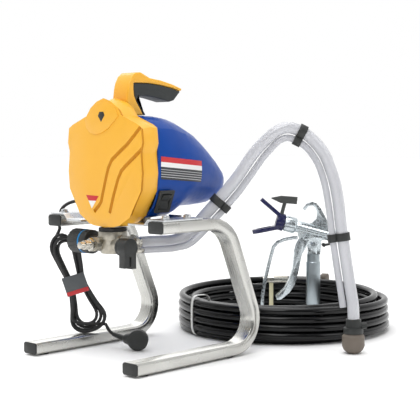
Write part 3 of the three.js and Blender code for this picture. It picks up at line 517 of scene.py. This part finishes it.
braidedVinyl = vinylHose("braidedClearVinyl", ("#CBCCD2", "#EDEEF1"), 12, 330, 0.7)
plainVinyl = vinylHose("plainClearVinyl", ("#C9CAD0", "#DEDFE3"), 1, 2, 0.3)
suctionLine = layCord("suction_hose", suctionPoints, suction["diameter"], braidedVinyl)
returnLine = layCord("return_hose", returnPoints, suction["returnDiameter"], plainVinyl)
for line, node in ((suctionLine, "suction_tube"), (returnLine, "return_tube")):
    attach(line, "frame")
    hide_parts(node)

# the paint hose: down through the outer turns, across the floor and up through the inner ones
hose = dict(diameter=15, centre=(5, 532), outer=203.5, inner=182.5, top=68, floor=4.7, pitch=15.2,
            startAngle=112, endAngle=125, turns=9, steps=434)


def onCoil(radius, angle, height):
    turn = math.radians(angle)
    x, y = hose["centre"]
    return at(x + radius * math.cos(turn), y + radius * math.sin(turn), height)


climb = (hose["top"] - hose["floor"]) / hose["pitch"]
allTurns = hose["turns"] + (hose["endAngle"] - hose["startAngle"]) / 360
crossing = allTurns - 2 * climb


def hosePoint(turn):
    angle = hose["startAngle"] + turn * 360
    height = max(hose["floor"], hose["top"] - hose["pitch"] * min(turn, allTurns - turn))
    share = min(1, max(0, (turn - climb) / crossing))
    ease = share * share * (3 - 2 * share)
    lowness = 1 - (height - hose["floor"]) / (hose["top"] - hose["floor"])
    radius = hose["outer"] + (hose["inner"] - hose["outer"]) * ease
    radius += 2.2 * lowness * (1 - 2 * ease) + 1.2 * math.sin(turn * 5.1 + 1) * math.sin(math.pi * lowness)
    return onCoil(radius, angle, height)


hosePoints = [hosePoint(allTurns * i / hose["steps"]) for i in range(hose["steps"] + 1)]
# black hose cover: smooth and glossy, with a faint haze
hoseCover = mouldedPlastic("glossyHoseCover", ("#060607", "#090A0B"), 0.18, 6, 0.02, 0.0, 0.32)
hoseLine = layCord("paint_hose", hosePoints, hose["diameter"], hoseCover)
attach(hoseLine, "frame")
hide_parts("hose_coil")
print("hose", round(lengthOf(hosePoints), 3), "suction", round(lengthOf(suctionPoints), 3),
      "return", round(lengthOf(returnPoints), 3))

# ---- stand
stand = {"left_leg": tubeSteel, "right_leg": tubeSteel, "mounting_tray": zincPlate}
for node, material in stand.items():
    dressNode(node, material, 0.6)
for side in ("left", "right"):
    for cap in ("skid_cap", "arm_cap"):
        dressNode(f"{side}_{cap}", blackNylon, 0.7)
    for foot in ("front_foot", "rear_foot"):
        dressNode(f"{side}_{foot}", feetRubber, 0.8)

# ---- drive, inside
for node, material in {
        "drive_housing": pumpCasting, "crank_gear": gearSteel, "crank_yoke": gearSteel,
        "motor_can": gearSteel, "motor_rotor": copperWinding, "cooling_fan": blackNylon,
        "control_board": circuitBoard, "piston_rod": turnedSteel, "gun_needle": turnedSteel}.items():
    paintNode(node, material)

# ---- covers
# two grooves sweep down the face of the front cover, and a badge with a plain emblem fills its top
cover = dict(face=59, groove=1.5, mouth=8, deep=2.5, step=(1.5, 9.5), middle=30,
             left=[(92, 396), (74, 380), (56, 365), (36, 352), (20, 341), (11, 327), (2, 301),
                   (-8, 269), (-14, 262), (-26, 252)],
             right=[(95, 360), (80, 349), (67, 340), (54, 331), (44, 323), (36, 310), (26, 286), (14, 251)],
             badge=[(-48, 411), (-45, 396), (-34, 386), (-19, 384), (-3, 387), (12, 394), (27, 405),
                    (38, 415), (31, 427), (17, 436), (0, 440), (-17, 436), (-31, 427), (-40, 418)],
             emblem=[(-13, 415), (-5, 405), (4, 416), (1, 422), (-9, 422)],
             sticker=[(-47, 280), (-14, 279), (-32, 257)])


def onFace(x, z, out):
    return at(x, cover["face"] - out, z)


frontCover = copyNode("front_cover")
breakEdges(frontCover, 1.2, 2, 28, use_clamp_overlap=True)
frontCover.data.materials.clear()
frontCover.data.materials.append(yellowAbs)
frontCover.data.materials.append(grooveShadeAbs)
nearSide, farSide = (at(0, cover["face"] + back, 0).y for back in cover["step"])
for face in frontCover.data.polygons:      # the rear flank of the step round the edge gets the darker yellow too, as painted shade
    inStep = nearSide < face.center.y < farSide and face.normal.y > 0.2
    face.material_index = 1 if inStep and abs(face.center.x) > cover["middle"] / 1000 else 0
for side in ("left", "right"):
    floorOfGroove, mouth = (ribbon(cover[side], cover[width]) for width in ("groove", "mouth"))
    groove = cutBlank(floorOfGroove, lambda x, z, out: onFace(x, z, out - cover["deep"]),
                      cover["deep"] + 0.4, 0, mouth)
    # the cut walls of each groove take the darker yellow as painted shade
    groove.data.materials.append(grooveShadeAbs)
    carve(frontCover, groove)
settle(frontCover, "front_cover_finished", "frame", None, ["front_cover"], 30)
badge = cutBlank(cover["badge"], onFace, 1.4, 0.6)
settle(badge, "front_badge", "frame", yellowAbs)
emblem = cutBlank(cover["emblem"], lambda x, z, out: onFace(x, z, out + 1.4), 0.25, 0.06)
settle(emblem, "badge_emblem", "frame", blackNylon)
sticker = cutBlank(cover["sticker"], onFace, 0.3, 0.08)
settle(sticker, "front_sticker", "frame", warningSticker)
dressNode("motor_cover", blueAbs, 1.0, 3, 20)

# the label is a sheet pressed onto the right side of the motor cover
label = dict(corners=((104, 347), (213, 338), (215, 301), (104, 309)), across=14, up=6,
             start=120, thick=0.35)
bpy.ops.object.select_all(action="DESELECT")
bpy.ops.mesh.primitive_grid_add(x_subdivisions=label["across"], y_subdivisions=label["up"], size=2)
sheet = bpy.context.active_object
for corner in sheet.data.vertices:
    along, rise = (corner.co.x + 1) / 2, (1 - corner.co.y) / 2
    (y0, z0), (y1, z1), (y2, z2), (y3, z3) = label["corners"]
    y = (y0 * (1 - along) + y1 * along) * (1 - rise) + (y3 * (1 - along) + y2 * along) * rise
    z = (z0 * (1 - along) + z1 * along) * (1 - rise) + (z3 * (1 - along) + z2 * along) * rise
    corner.co = at(label["start"], y, z)
only(sheet)
applyModifier(sheet, "SHRINKWRAP", target=bpy.data.objects["motor_cover_finished"], wrap_method="PROJECT",
              use_project_x=True, use_negative_direction=True, use_positive_direction=False, offset=0.0003)
openPiece(sheet)
bpy.ops.mesh.select_all(action="SELECT")
bpy.ops.mesh.normals_make_consistent(inside=False)
closePiece()
if sheet.data.polygons[0].normal.x < 0:
    sheet.data.flip_normals()
applyModifier(sheet, "SOLIDIFY", thickness=label["thick"] / 1000, offset=1)
settle(sheet, "side_label", "frame", sideLabel)

dressNode("switch_bezel", blackNylon, 0.8)
dressNode("switch_rocker", blackNylon, 0.6)
dressNode("carry_handle", yellowAbs, 5, 5, 50)
dressNode("handle_grip", softGrip, 4.5, 5, 50)
print("covers dressed")

# ---- bolts that hold the tray to the arms
bolts = dict(places=[(x, y) for x in (-129.5, 129.5) for y in (78, 128)],
             top=245.3, head=6.5, tall=4, washer=7.5)
for count, (x, y) in enumerate(bolts["places"], 1):
    bpy.ops.object.select_all(action="DESELECT")
    bpy.ops.mesh.primitive_cylinder_add(vertices=24, radius=bolts["washer"] / 1000, depth=0.0014,
                                        location=at(x, y, bolts["top"] + 0.7))
    bolt = bpy.context.active_object
    bpy.ops.object.transform_apply(location=True, rotation=True, scale=True)
    bpy.ops.mesh.primitive_cylinder_add(vertices=6, radius=bolts["head"] / 1000, depth=bolts["tall"] / 1000,
                                        location=at(x, y, bolts["top"] + 1.2 + bolts["tall"] / 2),
                                        rotation=(0, 0, 0.4 * count))
    head = bpy.context.active_object
    bpy.ops.object.transform_apply(location=True, rotation=True, scale=True)
    openPiece(head)
    pickFaces(head, lambda face: face.normal.z > 0.9)
    bpy.ops.mesh.inset(thickness=0.0026)
    bpy.ops.mesh.extrude_region_move(TRANSFORM_OT_translate={"value": (0, 0, 0.0012)})
    closePiece()
    carve(bolt, head, "UNION")
    breakEdges(bolt, 0.4, 2, 35)
    settle(bolt, f"tray_bolt_{count}", "frame", zincPlate)

# ---- pump
for node, material, edge in [
        ("pump_gasket", feetRubber, 0.6), ("pump_manifold", pumpCasting, 0.9),
        ("hose_outlet", turnedSteel, 0.5), ("inlet_fitting", turnedSteel, 0.6),
        ("pressure_control", blackNylon, 0.8), ("dial_ring", dialBlue, 0.4),
        ("pressure_knob", blackNylon, 0.8), ("prime_valve", blackNylon, 0.8),
        ("prime_lever", blackNylon, 1.0), ("return_barb", turnedSteel, 0.4),
        ("strain_relief", feetRubber, 0.5)]:
    dressNode(node, material, edge)

# ---- pieces on the cords
plug = dressNode("mains_plug", blackNylon, 0.8)
for place in ("low", "top", "end"):
    dressNode(f"tube_clip_{place}", blackNylon, 0.5)
collar = dressNode("strainer_collar", blackNylon, 0.8)
strainer = dressNode("inlet_strainer", strainerPlastic, 0.5)
fitting = dressNode("hose_fitting", turnedSteel, 0.5)
restrictor = dressNode("bend_restrictor", strainerPlastic, 0.8)

# ---- ties round the coil, and the tag on the folded lead
ties = dict(white_tie=dict(angle=-106, wide=7, material=whiteTie),
            cream_tie=dict(angle=138, wide=9, material=creamTie))
bundle = dict(middle=193, height=33, halfAcross=20.2, halfUp=38.5, thick=1.2)
for name, tie in ties.items():
    turn = math.radians(tie["angle"])
    along = Vector((-math.sin(turn), math.cos(turn), 0))
    bpy.ops.object.select_all(action="DESELECT")
    bpy.ops.mesh.primitive_circle_add(vertices=40, radius=1, fill_type="NOTHING")
    band = bpy.context.active_object
    for corner in band.data.vertices:
        u, v = corner.co.x, corner.co.y
        across = math.copysign(abs(u) ** 0.5, u) * bundle["halfAcross"]
        up = math.copysign(abs(v) ** 0.5, v) * bundle["halfUp"]
        corner.co = (onCoil(bundle["middle"] + across, tie["angle"], bundle["height"] + 4.5 + up)
                     - along * tie["wide"] / 2000)
    openPiece(band, "EDGE")
    bpy.ops.mesh.select_all(action="SELECT")
    bpy.ops.mesh.extrude_region_move(TRANSFORM_OT_translate={"value": along * tie["wide"] / 1000})
    bpy.ops.mesh.select_all(action="SELECT")
    bpy.ops.mesh.normals_make_consistent(inside=False)
    closePiece()
    applyModifier(band, "SOLIDIFY", thickness=bundle["thick"] / 1000, offset=0)
    breakEdges(band, 0.3, 2, 40)
    settle(band, name, "frame", tie["material"])

tag = dict(half=21, top=82, bottom=118, out=13, strip=8)


def oblong(half, top, bottom):
    return [(-half, top), (half, top), (half, bottom), (-half, bottom)]


card = oblong(tag["half"], tag["top"], tag["bottom"])
stripe = oblong(tag["half"] - 0.5, tag["bottom"] - tag["strip"], tag["bottom"] - 0.5)
leadTag = cutBlank(card, lambda u, v, out: onHank(u, v, tag["out"] + out), 0.8, 0.2)
settle(leadTag, "lead_tag", "frame", tagGrey)
tagStripe = cutBlank(stripe, lambda u, v, out: onHank(u, v, tag["out"] + 0.8 + out), 0.2, 0.05)
settle(tagStripe, "lead_tag_stripe", "frame", labelRed)
print("ties and tag made")

# ---- spray gun
for node, material, edge in [
        ("gun_body", gunCasting, 1.2), ("gun_handle", gunSleeve, 0.8), ("gun_swivel", gunCasting, 0.5),
        ("gun_trigger", gunCasting, 1.0), ("trigger_guard", gunCasting, 0.6),
        ("trigger_lock", blackNylon, 0.6), ("retaining_nut", gunCasting, 0.8),
        ("tip_guard", navyNylon, 1.4), ("spray_tip", tipPlastic, 0.8)]:
    dressNode(node, material, edge)

# ---- floor and light: pale paper, soft lamps in front, at the side and behind
bpy.ops.object.select_all(action="DESELECT")
bpy.ops.mesh.primitive_plane_add(size=40, location=(0, 0, 0))
floor = bpy.context.active_object
floor.name = "floor"
floor.data.materials.append(newMaterial("paleFloorPaper", "#FAFAFA", 0.8)[0])

studio = dict(
    key=dict(place=(1.2, -2.2, 2.6), size=1.6, power=32),
    side=dict(place=(3.0, 0.4, 1.8), size=1.6, power=16),
    back=dict(place=(-2.4, 1.8, 2.4), size=2.4, power=18))
for name, lamp in studio.items():
    light = bpy.data.lights.new(name, "AREA")
    light.size = lamp["size"]
    light.energy = lamp["power"]
    holder = bpy.data.objects.new(name, light)
    holder.location = lamp["place"]
    aim = Vector((0, 0, 0.15)) - Vector(lamp["place"])
    holder.rotation_euler = aim.to_track_quat("-Z", "Y").to_euler()
    bpy.context.scene.collection.objects.link(holder)

sky = bpy.data.lights.new("sky", "SUN")          # lights the paper evenly out to the horizon
sky.energy = 1.5
sky.angle = math.radians(50)
skyHolder = bpy.data.objects.new("sky", sky)
skyHolder.rotation_euler = (math.radians(6), math.radians(-5), 0)
bpy.context.scene.collection.objects.link(skyHolder)

world = bpy.data.worlds.new("studio")
world.use_nodes = True
bpy.context.scene.world = world
worldTree = world.node_tree
backdrop = worldTree.nodes["Background"]
worldPlace = addNode(worldTree, "ShaderNodeTexCoord")
facing = addNode(worldTree, "ShaderNodeVectorMath", {"operation": "DOT_PRODUCT", 1: (-0.684, 0.7265, 0.25)},
                 {0: worldPlace.outputs["Generated"]})
room = addNode(worldTree, "ShaderNodeMapRange",
               {"From Min": -0.6, "From Max": 0.5, "To Min": 0.18, "To Max": 1.0},
               {"Value": facing.outputs["Value"]})
worldTree.links.new(room.outputs[0], backdrop.inputs["Color"])
print("stage set")
